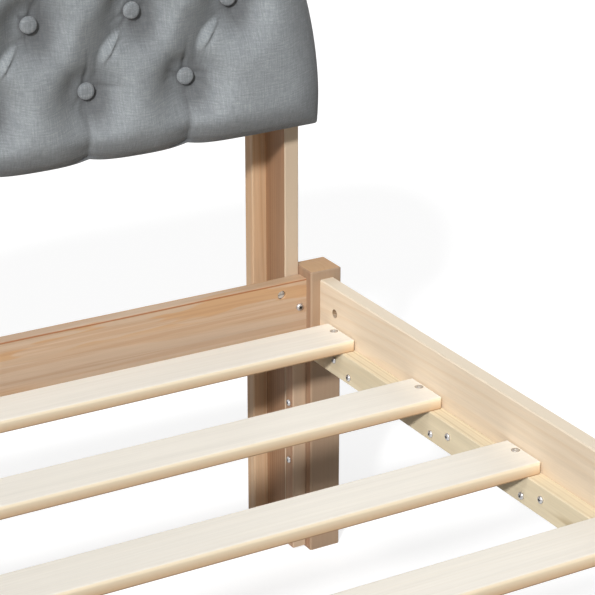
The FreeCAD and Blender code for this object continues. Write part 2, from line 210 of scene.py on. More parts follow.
def noise(place, scale, detail=2.0, roughness=0.5, output=0):
    """Value, or colour, of a Noise Texture; three scales stretch it along the axes."""
    if isinstance(scale, tuple):
        place = scaled(place, scale)
        scale = 1.0
    inputs = {"Vector": place, "Scale": scale, "Detail": detail, "Roughness": roughness}
    return add(tree_of(place), "TexNoise", inputs).outputs[output]


def ranged(value, low, high, to_low=0.0, to_high=1.0):
    """Value eased from one range into another."""
    inputs = {0: value, 1: low, 2: high, 3: to_low, 4: to_high}
    return add(tree_of(value), "MapRange", inputs, interpolation_type="SMOOTHSTEP").outputs[0]


def blended(factor, first, second):
    """Colour mixed from two, each a socket or a screen colour."""
    first, second = (one if is_socket(one) else linear(one) for one in (first, second))
    return add(tree_of(factor), "Mix", {0: factor, 6: first, 7: second}, data_type="RGBA").outputs[2]


def bumped(height, distance, strength):
    """Normal from a height map."""
    inputs = {"Height": height, "Distance": distance, "Strength": strength}
    return add(tree_of(height), "Bump", inputs).outputs[0]


def shader_group(name, inputs, outputs=("Color", "Roughness", "Height")):
    """Empty node group, and the sockets of its inputs, which are named under their kinds."""
    tree = bpy.data.node_groups.new(name, "ShaderNodeTree")
    for kind, labels in inputs.items():
        for label in labels:
            tree.interface.new_socket(label, in_out="INPUT", socket_type="NodeSocket" + kind)
    for label in outputs:
        kind = "Color" if label == "Color" else "Float"
        tree.interface.new_socket(label, in_out="OUTPUT", socket_type="NodeSocket" + kind)
    return tree, tree.nodes.new("NodeGroupInput").outputs


def put_out(tree, **outputs):
    """The node group, with its outputs joined."""
    join(tree.nodes.new("NodeGroupOutput").inputs, outputs)
    return tree


def use_group(group, **inputs):
    """Outputs of a node group placed in a material."""
    return add(tree_of(*inputs.values()), "Group", inputs, node_tree=group).outputs


def clean_tree(owner):
    """Emptied node tree of a material or world."""
    owner.use_nodes = True
    owner.node_tree.nodes.clear()
    return owner.node_tree


def new_material(name):
    """Material, the Principled shader on its surface, and the place on the object for its pattern."""
    material = bpy.data.materials.new(name)
    tree = clean_tree(material)
    shader = add(tree, "BsdfPrincipled")
    add(tree, "OutputMaterial", {0: shader.outputs[0]})
    return material, shader, add(tree, "TexCoord").outputs["Object"]


def feed(shader, **values):
    """Link or set a shader's inputs."""
    join(shader.inputs, values)


# Wood

PINE_MEASURES = ("Ring Width", "Ring Strength", "Streak Strength", "Fibre Strength", "Waviness")


def build_pine_group():
    """Growth rings of a trunk that runs along X, with fibres, resin streaks and a cut face's fuzz."""
    tree, source = shader_group("pine grain", {
        "Vector": ["Vector"], "Color": ["Early Wood", "Late Wood", "Streak"],
        "Float": ["Seed", *PINE_MEASURES]})
    place = source["Vector"]
    seeded = shifted(place, grown((3.7, 1.9, 2.3), source["Seed"]))
    bend = noise(seeded, (0.9, 4.5, 4.5), output=1)
    sway = grown(parted(bend, (0.5, 0.5, 0.5)), source["Waviness"])
    bent = shifted(place, scaled(sway, (0.0, 4.0, 4.0)))
    wobble = times(noise(seeded, (5, 60, 60)), 0.7)
    phase = plus(divided(length_of(scaled(bent, (0, 1, 1))), source["Ring Width"]), wobble)
    turn = fraction(phase)
    late = times(ranged(turn, 0.30, 0.90), ranged(turn, 0.90, 1.0, 1.0, 0.0))
    years = add(tree, "TexWhiteNoise", {"W": whole(phase)}, noise_dimensions="1D").outputs[0]
    late = times(late, times_plus(years, 0.75, 0.25))
    late = times(late, ranged(noise(seeded, (1.6, 16, 16), 3.0), 0.25, 0.7, 0.35, 1.0))
    late = times(late, source["Ring Strength"])
    colour = blended(late, source["Early Wood"], source["Late Wood"])
    drift = noise(seeded, (1.1, 13, 13), 4.0, 0.6)
    streak = times(ranged(drift, 0.47, 0.70), source["Streak Strength"])
    colour = blended(streak, colour, source["Streak"])
    fibre = noise(seeded, (16, 620, 620), 3.0, 0.6)
    fine = times(less(fibre, 0.5), source["Fibre Strength"])
    broad = times(less(noise(seeded, (2.2, 90, 90)), 0.5), times(source["Fibre Strength"], 1.3))
    colour = grown(colour, plus(plus(fine, broad), 1.0))
    return put_out(tree, Color=colour, Roughness=times_plus(fibre, 0.16, 0.50),
                   Height=times_plus(late, 0.5, fibre))


def build_board_group():
    """Darker end grain, and narrow sides of another tone than the broad faces, from the angle of the face."""
    tree, source = shader_group("board ends", {
        "Color": ["Color", "End Tint", "Side Tint"], "Vector": ["Grain Axis", "Side Axis"],
        "Float": ["End Strength", "Side Strength"]}, ["Color"])
    normal = add(tree, "NewGeometry").outputs["Normal"]
    along = size_of(facing(normal, source["Grain Axis"]))
    ends = times(ranged(along, 0.75, 0.95), source["End Strength"])
    sideways = size_of(facing(normal, source["Side Axis"]))
    sides = times(ranged(sideways, 0.20, 0.75), source["Side Strength"])
    colour = blended(sides, source["Color"], source["Side Tint"])
    return put_out(tree, Color=blended(ends, colour, source["End Tint"]))


PINE = build_pine_group()
BOARD_ENDS = build_board_group()

# The run of the grain: its axis, and the turns in degrees that lay the trunk's X along it
X_AXIS, Y_AXIS, Z_AXIS = Vector((1, 0, 0)), Vector((0, 1, 0)), Vector((0, 0, 1))
GRAINS = {"x": (X_AXIS, (0.0, 0.0, 0.0)), "y": (Y_AXIS, (0.0, 0.0, 90.0)), "z": (Z_AXIS, (0.0, -90.0, 0.0))}

# Each kind of board: colours of early wood, late wood, streaks and end grain, then the numbers that
# PINE_MEASURES names, and for some the axis, colour and strength of their narrow sides
WOODS = {
    "slat": ((236, 230, 219), (227, 215, 195), (231, 223, 207), (206, 180, 140),
        (0.0045, 0.22, 0.20, 0.12, 0.010), (Y_AXIS, (229, 211, 180), 0.85)),
    "side_rail": ((221, 204, 181), (209, 181, 147), (220, 194, 170), (196, 164, 126),
        (0.0060, 0.45, 0.45, 0.20, 0.014), (Z_AXIS, (223, 209, 187), 0.85)),
    "end_rail": ((199, 174, 149), (194, 148, 102), (188, 146, 104), (178, 140, 102),
        (0.0420, 0.95, 0.35, 0.24, 0.006)),
    "batten": ((224, 210, 180), (174, 150, 108), (216, 198, 162), (180, 152, 110),
        (0.0040, 0.95, 0.20, 0.20, 0.003), (Z_AXIS, (216, 202, 176), 0.35)),
    "leg": ((162, 133, 108), (138, 94, 70), (156, 104, 80), (194, 151, 98),
        (0.0060, 0.55, 0.60, 0.32, 0.006), (Y_AXIS, (172, 147, 122), 0.75)),
    "post_back": ((206, 175, 142), (188, 139, 99), (200, 152, 108), (180, 140, 100),
        (0.0060, 0.50, 0.45, 0.32, 0.006)),
    "post_side": ((156, 120, 90), (128, 87, 61), (143, 98, 70), (176, 138, 100),
        (0.0050, 0.60, 0.60, 0.32, 0.006), (Y_AXIS, (211, 191, 166), 0.88)),
    "strip": ((178, 145, 116), (148, 105, 77), (161, 116, 88), (180, 142, 104),
        (0.0045, 0.50, 0.50, 0.32, 0.006), (Y_AXIS, (212, 190, 164), 0.60)),
    "support": ((222, 196, 162), (200, 160, 116), (214, 182, 146), (190, 152, 108),
        (0.0050, 0.50, 0.40, 0.24, 0.010)),
    "dowel": ((214, 186, 146), (190, 152, 108), (200, 164, 120), (190, 155, 112),
        (0.0016, 0.40, 0.30, 0.24, 0.002)),
}

# Where the pith lies from a board's middle, the lean of the grain, and the seed
CUTS = {"head_rail": ((0.0, 0.012, 0.0888), (0.0, 1.0, 0.0), 4.0)}

# Boards that stand or lie on both sides: start of the node's name, kind of board and run of the grain
SIDE_BOARDS = (("side_rail_", "side_rail", "y"), ("slat_batten_", "batten", "y"),
               ("post_back_board_", "post_back", "z"), ("post_side_board_", "post_side", "z"),
               ("post_front_strip_", "strip", "z"))
CENTRE_LEGS = ("centre_leg_1", "centre_leg_2")


def resin_flames(place, colour):
    """Flames of orange late wood in a rail's upper half, and a dark line along its top arris."""
    height = axes_of(place)["Z"]
    tongues = noise(place, (4.5, 40, 52), 3.0, 0.55)
    upper = ranged(height, FLAME_FOOT_Z, FLAME_FOOT_Z + 0.012)
    flames = times(ranged(tongues, 0.49, 0.53), times(upper, 0.55))
    colour = blended(flames, colour, (198, 150, 98))
    low = noise(place, (2.2, 20, 150), 3.0, 0.6)
    colour = blended(ranged(low, 0.52, 0.60, 0.0, 0.30), colour, (176, 134, 98))
    line = times_plus(noise(place, (5, 0, 0)), 0.0010, RAIL_TOP_Z - 0.0016)
    from_line = size_of(less(height, line))
    return blended(ranged(from_line, 0.0003, 0.0011, 0.85, 0.0), colour, (150, 90, 48))


def painted_bore_shade(place, colour):
    """Painted shade in the side rails' nut bores: their walls coloured dark brown."""
    axes = axes_of(place)
    across = less(size_of(less(axes["Y"], SIDE_BORE_MIDDLE_Y)), SIDE_BORE_REACH)
    above = less(axes["Z"], SIDE_BORE_Z)
    square = plus(times(across, across), times(above, above))
    mask = ranged(square, SIDE_BORE_RADIUS ** 2, (SIDE_BORE_RADIUS + 0.0003) ** 2, 0.80, 0.0)
    return blended(mask, colour, (112, 84, 58))


def painted_slat_foot_shade(place, colour):
    """Painted shade along every slat's lower edge: a dark line at its foot, and a soft band above it that
    darkens towards the foot.
    """
    height = axes_of(place)["Z"]
    soft = ranged(height, BATTEN_TOP_Z + 0.0010, SLAT_TOP_Z - 0.0022, 0.62, 0.0)
    colour = blended(soft, colour, (188, 144, 98))
    mask = ranged(height, BATTEN_TOP_Z + 0.0003, BATTEN_TOP_Z + 0.0017, 0.72, 0.0)
    return blended(mask, colour, (116, 84, 52))


# Marks laid on some boards' grain; the side rails' and the slats' are painted shade
BOARD_MARKS = {"end_rail": resin_flames, "side_rail": painted_bore_shade, "slat": painted_slat_foot_shade}


def pine(name, wood, along, middle, pith, lean=(0.0, 0.0, 0.0), seed=0.0):
    """Planed pine for one board, cut from a trunk whose pith passes beside the board's middle."""
    early, late, streak, end, measures, *narrow = WOODS[wood]
    side_axis, side, strength = narrow[0] if narrow else (Y_AXIS, early, 0.0)
    axis, turns = GRAINS[along]
    material, shader, place = new_material(name)
    turn = [radians(a + b) for a, b in zip(turns, lean)]
    inputs = {"Vector": place, "Location": Vector(middle) + Vector(pith), "Rotation": turn}
    mapped = add(place.id_data, "Mapping", inputs, vector_type="TEXTURE").outputs[0]
    grain = use_group(PINE, Vector=mapped, Early_Wood=linear(early), Late_Wood=linear(late),
                      Streak=linear(streak), Seed=seed, **dict(zip(PINE_MEASURES, measures)))
    colour = use_group(BOARD_ENDS, Color=grain["Color"], Grain_Axis=axis, End_Tint=linear(end),
                       End_Strength=0.6, Side_Axis=side_axis, Side_Tint=linear(side),
                       Side_Strength=strength)["Color"]
    if wood in BOARD_MARKS:
        colour = BOARD_MARKS[wood](place, colour)
    feed(shader, Base_Color=colour, Roughness=grain["Roughness"], Specular_IOR_Level=0.35,
         Normal=bumped(grain["Height"], 0.0004, 0.35))
    return material


def middle_of(node):
    """Middle of a CAD node's box."""
    low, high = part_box(node)
    return (low + high) / 2


def dress(node, material):
    """Give a CAD node its finish."""
    slots = nodes[node].material_slots
    for slot in slots:
        slot.material = material
    if not slots:
        nodes[node].data.materials.append(material)


def dress_boards():
    """Pine for every board, each from its own place in a trunk."""
    boards = []
    for end in ("head", "foot"):
        boards += [("leg_%s_%s" % (end, side), "leg", "z") for side in ("left", "right")]
        boards.append((end + "_rail", "end_rail", "x"))
    for side in ("left", "right"):
        boards += [(start + side, wood, along) for start, wood, along in SIDE_BOARDS]
    boards += [(slat, "slat", "x") for slat in SLATS]
    boards.append(("centre_beam", "support", "y"))
    boards += [(leg, "support", "z") for leg in CENTRE_LEGS]
    for node, wood, along in boards:
        away = draw(0.035, 0.085)
        angle = draw(0.0, 2 * pi)
        pith = [away * cos(angle), away * sin(angle)]
        pith.insert("xyz".index(along), 0.0)
        lean = [draw(-0.9, 0.9) for _ in range(3)]
        pith, lean, seed = CUTS.get(node, (pith, lean, draw(0, 40)))
        dress(node, pine(node, wood, along, middle_of(node), pith, lean, seed))
    dress("rail_dowels", pine("rail_dowels", "dowel", "x", (0, 0, 0.3), (0, 0.1, 0.02)))


def plywood():
    """Thin plies seen on the panel's edge, and rotary-cut veneer on its faces."""
    material, shader, place = new_material("plywood")
    odd = zigzag(whole(times(axes_of(place)["Y"], 1 / 0.0024)), 1.0)
    veneer = noise(place, (2.0, 40, 14), 5.0, 0.6)
    face = blended(ranged(veneer, 0.35, 0.7), (214, 186, 146), (186, 150, 108))
    feed(shader, Base_Color=blended(times(odd, 0.45), face, (150, 112, 76)), Roughness=0.62,
         Normal=bumped(noise(place, (60, 400, 400), 3.0), 0.0003, 0.4))
    return material


def painted_countersink_shade():
    """Dark wood with torn fibres: painted shade of a screw's countersink."""
    material, shader, place = new_material("painted_countersink_shade")
    torn = noise(place, 1400.0, 3.0)
    feed(shader, Base_Color=blended(torn, (112, 94, 74), (196, 176, 146)), Roughness=0.8)
    return material


# Metal

def build_zinc_group():
    """Zinc plate: cloudy crystals, fine brushing and a few dull marks."""
    tree, source = shader_group("zinc plate", {
        "Vector": ["Vector"], "Color": ["Zinc", "Dull"], "Float": ["Marks", "Gloss"]})
    place = source["Vector"]
    cloud = noise(place, 240.0, 4.0, 0.6)
    brush = noise(place, (900, 900, 120))
    worn = times(ranged(cloud, 0.48, 0.72), source["Marks"])
    return put_out(tree, Color=blended(worn, source["Zinc"], source["Dull"]),
                   Roughness=plus(source["Gloss"], times(cloud, 0.18)), Height=brush)


ZINC = build_zinc_group()


def zinc(name, colour, dull, gloss, marks):
    """Zinc-plated steel."""
    material, shader, place = new_material(name)
    plate = use_group(ZINC, Vector=place, Zinc=linear(colour), Dull=linear(dull), Gloss=gloss, Marks=marks)
    feed(shader, Base_Color=plate["Color"], Roughness=plate["Roughness"], Metallic=0.8,
         Normal=bumped(plate["Height"], 0.0001, 0.3))
    return material


def painted_recess_shade():
    """Near-black steel, painted shade in drive recesses, slots and the nuts' rims, mottled with swarf grime.
    """
    material, shader, place = new_material("drive_recess")
    grime = noise(place, 900.0, 3.0)
    feed(shader, Base_Color=blended(grime, (16, 14, 14), (40, 36, 34)), Metallic=0.7, Roughness=0.5)
    return material


# Cloth

PALE_YARN = (182, 186, 188)
DARK_YARN = (104, 109, 114)
YARNS_PER_METRE = 1100.0
# Colour and strength of the painted shade that the pad's vertex attribute lays on its cloth
PAINTED_SHADE_COLOUR = (66, 65, 66)
PAINTED_SHADE_TINT = 0.62


def build_weave_group():
    """Plain weave of uneven yarns, with slubs and heathered tones."""
    tree, source = shader_group("linen weave", {
        "Vector": ["Vector"], "Color": ["Yarn", "Pale Yarn", "Dark Yarn"],
        "Float": ["Yarns Per Metre", "Heather"]})
    place = source["Vector"]
    count = source["Yarns Per Metre"]
    sway = parted(noise(place, 55.0, output=1), (0.5, 0.5, 0.5))
    axes = axes_of(shifted(place, scaled(sway, (0.0009, 0.0009, 0.0))))
    over, under = (sine(times(times(axes[axis], count), pi)) for axis in (0, 1))
    lines = times(plus(size_of(over), size_of(under)), 0.35)
    weave = times_plus(times(over, under), 0.30, lines)
    flat = noise(place, (66, 720, 1), 3.0, 0.6)
    tall = noise(place, (720, 66, 1), 3.0, 0.6)
    fleck = noise(place, 620.0, 2.0, 0.6)
    cloud = noise(place, 26.0, 3.0)
    tone = times(less(plus(flat, tall), 1.0), times(source["Heather"], 1.28))
    tone = plus(tone, times(less(fleck, 0.5), 0.9))
    pale = smaller(larger(tone, 0.0), 1.0)
    dark = smaller(larger(times(tone, -1.0), 0.0), 1.0)
    colour = blended(pale, source["Yarn"], source["Pale Yarn"])
    colour = blended(dark, colour, source["Dark Yarn"])
    shade = plus(times_plus(weave, 0.24, 0.84), times(cloud, 0.14))
    return put_out(tree, Color=grown(colour, shade), Roughness=times_plus(fleck, 0.15, 0.78),
                   Height=plus(weave, times(flat, 0.5)))


WEAVE = build_weave_group()


def linen(name, yarn, is_pad):
    """Grey heathered upholstery cloth; the pad's has its own UV map and is darkened by painted shade from a
    vertex attribute, in its creases, wells and edges.
    """
    material, shader, place = new_material(name)
    if is_pad:
        place = place.node.outputs["UV"]
    else:
        inputs = {"Vector": place, "Rotation": (radians(-90), 0, 0)}
        place = add(place.id_data, "Mapping", inputs).outputs[0]
    cloth = use_group(WEAVE, Vector=place, Yarn=linear(yarn), Pale_Yarn=linear(PALE_YARN),
                      Dark_Yarn=linear(DARK_YARN), Yarns_Per_Metre=YARNS_PER_METRE, Heather=1.0)
    colour = cloth["Color"]
    if is_pad:
        # painted shade from the pad's vertex attribute
        painted_shade = add(place.id_data, "Attribute", attribute_name="painted_shade").outputs["Fac"]
        colour = blended(times(painted_shade, PAINTED_SHADE_TINT), colour, PAINTED_SHADE_COLOUR)
    feed(shader, Base_Color=colour, Roughness=cloth["Roughness"], Normal=bumped(cloth["Height"], 0.0006, 0.5),
         Sheen_Weight=0.25, Sheen_Roughness=0.5, Specular_IOR_Level=0.2)
    return material


def felt():
    """Thin black lining cloth, bonded from short fibres."""
    material, shader, place = new_material("lining_cloth")
    clump = noise(place, 420.0, 5.0, 0.7)
    emboss = add(place.id_data, "TexVoronoi", {"Vector": place, "Scale": 700.0}).outputs["Distance"]
    tone = times_plus(emboss, 0.4, clump)
    colour = blended(ranged(tone, 0.4, 1.0), (26, 26, 28), (52, 52, 54))
    feed(shader, Base_Color=colour, Roughness=0.92, Normal=bumped(tone, 0.0003, 0.5), Sheen_Weight=0.3)
    return material


# Mesh helpers

def as_mesh(name, bm):
    """Mesh from a bmesh, which is freed."""
    mesh = bpy.data.meshes.new(name)
    bm.to_mesh(mesh)
    bm.free()
    return mesh


def in_scene(name, data):
    """Object in the scene for a mesh, lamp or camera."""
    holder = bpy.data.objects.new(name, data)
    bpy.context.scene.collection.objects.link(holder)
    return holder


def new_piece(name, bm, materials, smooth=True):
    """Object from a bmesh, on the root body and with its finish's slot."""
    bmesh.ops.recalc_face_normals(bm, faces=bm.faces)
    mesh = as_mesh(name, bm)
    for material in materials:
        mesh.materials.append(material)
    mesh.polygons.foreach_set("use_smooth", [smooth] * len(mesh.polygons))
    piece = in_scene(name, mesh)
    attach(piece, "root")
    return piece


def stamped(bm, template, move):
    """Put a copy of a template, moved by a matrix, into a bmesh."""
    copy = template.copy()
    copy.transform(move)
    bm.from_mesh(copy)
    bpy.data.meshes.remove(copy)


def placed(bm, template, seat, way, spin=0.0):
    """Stamp a template whose head looks up its own Z; way points into the wood."""
    turn = (-Vector(way)).to_track_quat("Z", "Y").to_matrix().to_4x4()
    stamped(bm, template, Matrix.Translation(Vector(seat)) @ turn @ Matrix.Rotation(spin, 4, "Z"))


def spun_profile(profile, steps):
    """Bmesh of a body spun round Z from a profile of radius and height pairs."""
    bm = bmesh.new()
    verts = [bm.verts.new((radius, 0.0, height)) for radius, height in profile]
    edges = [bm.edges.new(pair) for pair in zip(verts, verts[1:])]
    bmesh.ops.spin(bm, geom=verts + edges, cent=(0, 0, 0), axis=(0, 0, 1), angle=2 * pi,
                   steps=steps, use_merge=True, use_duplicate=False)
    bmesh.ops.remove_doubles(bm, verts=bm.verts, dist=1e-6)
    return bm


def extruded(bm, edges):
    """Vertices and edges pulled out of a loop of edges."""
    made = bmesh.ops.extrude_edge_only(bm, edges=edges)["geom"]
    return [[g for g in made if isinstance(g, kind)] for kind in (bmesh.types.BMVert, bmesh.types.BMEdge)]


def with_recess(name, bm, height, mouth, deep, is_dark, shrink=1.0):
    """Close a spun head at its height round a recess; is_dark picks the dark faces by middle and radius."""
    open_edges = [e for e in bm.edges if e.is_boundary]
    rim = [e for e in open_edges if abs(e.verts[0].co.z - height) < 1e-6]
    foot = [e for e in open_edges if e not in rim]
    corners = [bm.verts.new((x, y, height)) for x, y in mouth]
    loop = [bm.edges.new(pair) for pair in zip(corners, corners[1:] + corners[:1])]
    bmesh.ops.bridge_loops(bm, edges=rim + loop)
    low, low_edges = extruded(bm, loop)
    bmesh.ops.translate(bm, verts=low, vec=(0, 0, -deep))
    bmesh.ops.scale(bm, verts=low, vec=(shrink, shrink, 1))
    bmesh.ops.contextual_create(bm, geom=low_edges)
    if foot:
        bmesh.ops.contextual_create(bm, geom=foot)
    bmesh.ops.recalc_face_normals(bm, faces=bm.faces)
    for face in bm.faces:
        middle = face.calc_center_median()
        face.material_index = int(is_dark(middle, hypot(middle.x, middle.y)))
    return as_mesh(name, bm)


# Screws and fittings

def cross(arm, half):
    """Corners of a cross, from the reach and the half width of its arms."""
    points = []
    for quarter in range(4):
        c, s = cos(quarter * pi / 2), sin(quarter * pi / 2)
        points += [(x * c - y * s, x * s + y * c) for x, y in ((arm, -half), (arm, half), (half, half))]
    return points


def screw_template(radius, rise, dome):
    """Round screw head with a cross recess: radius, rise of its rim and of its dome above the rim."""
    top = rise + dome
    bm = spun_profile([(radius * 0.55, -0.004), (radius * 0.6, -0.0006), (radius, 0.0), (radius, rise),
                       (radius * 0.86, rise + dome * 0.55), (radius * 0.52, top)], 16)
    return with_recess("screw template", bm, top, cross(radius * 0.49, radius * 0.30 / 2), radius * 0.42,
                       lambda middle, away: 0 < middle.z < top - 1e-5 and away < radius * 0.47, shrink=0.55)


def nut_template():
    """Barrel nut whose turned end has a slot and a softened rim."""
    radius, length, rim, half = 0.0049, 0.014, 0.0005, 0.00038
    bm = spun_profile([(0.0, -length), (radius - rim, -length), (radius, -length + rim), (radius, -rim),
                       (radius - rim, 0.0)], 24)
    reach = sqrt((radius - rim) ** 2 - half ** 2) * 0.97

    def is_dark(middle, away):
        in_slot = -length < middle.z < -0.0001 and abs(middle.y) < 0.0007 and away < radius * 0.95
        # The slot and the softened rim take the near-black steel, painted shade round the nut's end
        return in_slot or (middle.z > -rim and away > radius - rim)
    slot = [(reach, -half), (reach, half), (-reach, half), (-reach, -half)]
    return with_recess("nut template", bm, 0.0, slot, 0.0010, is_dark)


def bolt_template():
    """Flat-headed bolt with a hexagon socket and a softened rim."""
    radius, rise, shank, length, socket, soft = 0.007, 0.0025, 0.0029, 0.078, 0.0021, 0.0009
    bm = spun_profile([(0.0, -length), (shank * 0.8, -length), (shank, -length + 0.001), (shank, -0.0003),
                       (radius, 0.0), (radius, rise - soft), (radius - soft, rise), (0.0026, rise)], 24)
    angles = [radians(60 * corner) for corner in range(6)]
    hexagon = [(socket * cos(angle), socket * sin(angle)) for angle in angles]
    return with_recess("bolt template", bm, rise, hexagon, 0.0019,
                       lambda middle, away: 0 < middle.z < rise - 1e-5 and away < socket + 0.0001)


def slat_seats():
    """One flush screw at each end of every slat."""
    from_end, off_middle = 0.0075, 0.005
    seats = []
    for slat in SLATS:
        low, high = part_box(slat)
        y = (low.y + high.y) / 2 + off_middle
        seats += [((side * (high.x - from_end), y, SLAT_TOP_Z), (0, 0, -1)) for side in SIDES]
    return seats


def batten_seats():
    """Pairs of screws along each batten, one high and one low."""
    first, pitch, shift, gap = 0.062, 0.1815, 0.0175, 0.032
    seats = []
    for side in SIDES:
        for pair in range(10):
            for second in range(2):
                y = LEG_FACE_Y - first - pitch * pair - shift * (pair % 2) - gap * second
                is_upper = (second == 0) == (pair == 0)
                z = BATTEN_TOP_Z - (0.0142 if is_upper else 0.0240)
                seats.append(((side * BATTEN_FACE_X, y, z), (side, 0, 0)))
    return seats


def post_seats(x, y, heights, way):
    """Screws in both posts, one at each height."""
    return [((side * x, y, z), (side * way[0], way[1], way[2])) for side in SIDES for z in heights]


def bracket_seats():
    """Screws of the headboard's angles, the beam's hangers and the centre legs."""
    seats = []
    for side in SIDES:
        for middle_z in (0.566, 0.616):
            for z in (middle_z - 0.010, middle_z + 0.010):
                seats += [((side * POST_FACE_X, ANGLE_SCREW_Y, z), (side, 0, 0)),
                          ((side * ANGLE_SCREW_X, ANGLE_FACE_Y, z), (0, -1, 0))]
        for z in (BEAM_SCREW_Z - 0.012, BEAM_SCREW_Z + 0.012):
            seats += [((side * HANGER_SCREW_X, RAIL_FACE_Y - HANGER_WALL, z), (0, 1, 0)),
                      ((side * HANGER_SCREW_X, FOOT_RAIL_FACE_Y + HANGER_WALL, z), (0, -1, 0))]
    for leg in CENTRE_LEGS:
        y = middle_of(leg).y
        seats += [((side * CENTRE_LEG_FACE_X, y + off, 0.266), (-side, 0, 0))
                  for side in SIDES for off in (-0.010, 0.010)]
    return seats


def joint_places():
    """Each rail end's bolt: its place, the way out through the leg, and the way to the rail's inner face."""
    places = []
    for side in SIDES:
        for y, inward in ((0.93925, -1), (-0.98875, 1)):
            places.append(((side * 0.693, y, 0.3335), (side, 0, 0), (0, inward, 0)))
        for y, out in ((0.91925, 1), (-0.96875, -1)):
            places.append(((side * 0.714, y, SIDE_BORE_Z), (0, out, 0), (-side, 0, 0)))
    return [[Vector(part) for part in place] for place in places]


def screws(name, template, seats, materials):
    """One piece from many screws of a kind, each turned by chance."""
    largest_smooth_face = 9e-6
    bm = bmesh.new()
    for seat, way in seats:
        placed(bm, template, seat, way, draw(-pi, pi))
    faces = new_piece(name, bm, materials, smooth=False).data.polygons
    faces.foreach_set("use_smooth", [face.area < largest_smooth_face for face in faces])


def countersink_rings(seats, material):
    """Thin dark rings round the flush screws: painted shade of their countersinks."""
    inner, outer = 0.0040, 0.0047
    ring = as_mesh("ring template", spun_profile([(inner, 0.00002), (inner, 0.00010), (outer, 0.00006),
                                                  (outer, 0.00002), (inner, 0.00002)], 20))
    bm = bmesh.new()
    for seat, way in seats:
        placed(bm, ring, seat, way)
    bpy.data.meshes.remove(ring)
    new_piece("screw_countersinks", bm, [material])


def fasten():
    """Every screw, bolt and barrel nut."""
    metals = [zinc("zinc_bright", (204, 203, 204), (122, 120, 120), 0.22, 0.45), painted_recess_shade()]
    flush = screw_template(0.0039, 0.00010, 0.00035)
    pan = screw_template(0.0040, 0.0011, 0.0014)
    large = screw_template(0.0044, 0.0012, 0.0015)
    small = screw_template(0.0034, 0.0008, 0.0011)
    rail = post_seats(POST_MIDDLE_X, RAIL_FACE_Y, (0.3145, 0.274), (0, 1, 0))
    strip = post_seats(STRIP_FACE_X, RAIL_FACE_Y + 0.009, (0.192, 0.1175, 0.043), (1, 0, 0))
    heights = [0.053 + 0.13475 * step for step in range(5)]
    back = post_seats(POST_MIDDLE_X, POST_BACK_FACE_Y, heights, (0, -1, 0))
    for name, head, seats in (("slat_screws", flush, slat_seats()), ("batten_screws", pan, batten_seats()),
                              ("head_rail_screws", large, rail), ("strip_screws", pan, strip),
                              ("post_back_screws", flush, back), ("bracket_screws", small, bracket_seats())):
        screws(name, head, seats, metals)
    countersink_rings(slat_seats() + back, painted_countersink_shade())
    nut_in, head_out = 0.0325, 0.040
    nuts, bolts = bmesh.new(), bmesh.new()
    nut, bolt = nut_template(), bolt_template()
    for place, out, inward in joint_places():
        sunk = 0.0070 if abs(out.x) > 0.5 else 0.0035
        placed(nuts, nut, place - out * nut_in + inward * sunk, -inward, draw(-0.4, 0.4))
        placed(bolts, bolt, place + out * head_out, -out, draw(0, pi))
    nut_piece = new_piece("barrel_nuts", nuts, metals, smooth=False)
    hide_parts("rail_barrel_nuts")
    bolt_piece = new_piece("bolts", bolts, metals, smooth=False)
    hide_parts("rail_bolts")
    for template in (flush, pan, large, small, nut, bolt):
        bpy.data.meshes.remove(template)
    brackets = zinc("zinc_brackets", (190, 192, 196), (140, 142, 146), 0.30, 0.5)
    for node in ("beam_hanger_head", "beam_hanger_foot", "headboard_angles"):
        dress(node, brackets)


# The panel's outline

def corner_mapped(x, z, inset=0.0, foot=CORNER_RADIUS):
    """Points of the panel's rectangle pressed into its outline, with the shoulders and feet rounded."""
    x, z = np.array(x, float), np.array(z, float)
    half, low, high = PANEL_HALF - inset, PANEL_FOOT + inset, PANEL_TOP - inset
    for sign_x in SIDES:
        for edge_z, sign_z, radius in ((high, 1, SHOULDER_RADIUS - inset), (low, -1, foot)):
            centre_x = sign_x * (half - radius)
            centre_z = edge_z - sign_z * radius
            a = (x - centre_x) * sign_x / radius
            b = (z - centre_z) * sign_z / radius
            inside = (a > 0) & (b > 0)
            a, b = np.where(inside, a, 0.0), np.where(inside, b, 0.0)
            x = np.where(inside, centre_x + sign_x * radius * a * np.sqrt(1 - b * b / 2), x)
            z = np.where(inside, centre_z + sign_z * radius * b * np.sqrt(1 - a * a / 2), z)
    return x, z


def rim_points(x, z, inset):
    """Points of the rectangle's border on the outline drawn in by an inset."""
    foot = max(CORNER_RADIUS - inset, CORNER_RADIUS / 2)
    shoulder = SHOULDER_RADIUS - inset
    half = PANEL_HALF - inset
    low, high = PANEL_FOOT + inset, PANEL_TOP - inset
    is_top = z > PANEL_TOP - 1e-6
    old_x = np.where(is_top, ARC_X, PANEL_HALF - CORNER_RADIUS)
    new_x = np.where(is_top, half - shoulder, half - foot)
    size = np.abs(x)
    near = np.minimum(size / old_x, 1.0) * new_x
    far = np.maximum(size - old_x, 0.0) / (PANEL_HALF - old_x) * (half - new_x)
    knots = [PANEL_FOOT, PANEL_FOOT + CORNER_RADIUS, ARC_Z, PANEL_TOP]
    moved_z = np.interp(z, knots, [low, low + foot, high - shoulder, high])
    return corner_mapped(np.sign(x) * (near + far), moved_z, inset, foot)


def spread(length):
    """Places from 0 to a length: close together at both ends, then a cell apart."""
    run = length - 2 * BORDER[-1]
    count = int(round(run / CELL))
    inner = [BORDER[-1] + run * step / count for step in range(1, count)]
    return np.array(BORDER + inner + [length - step for step in reversed(BORDER)])


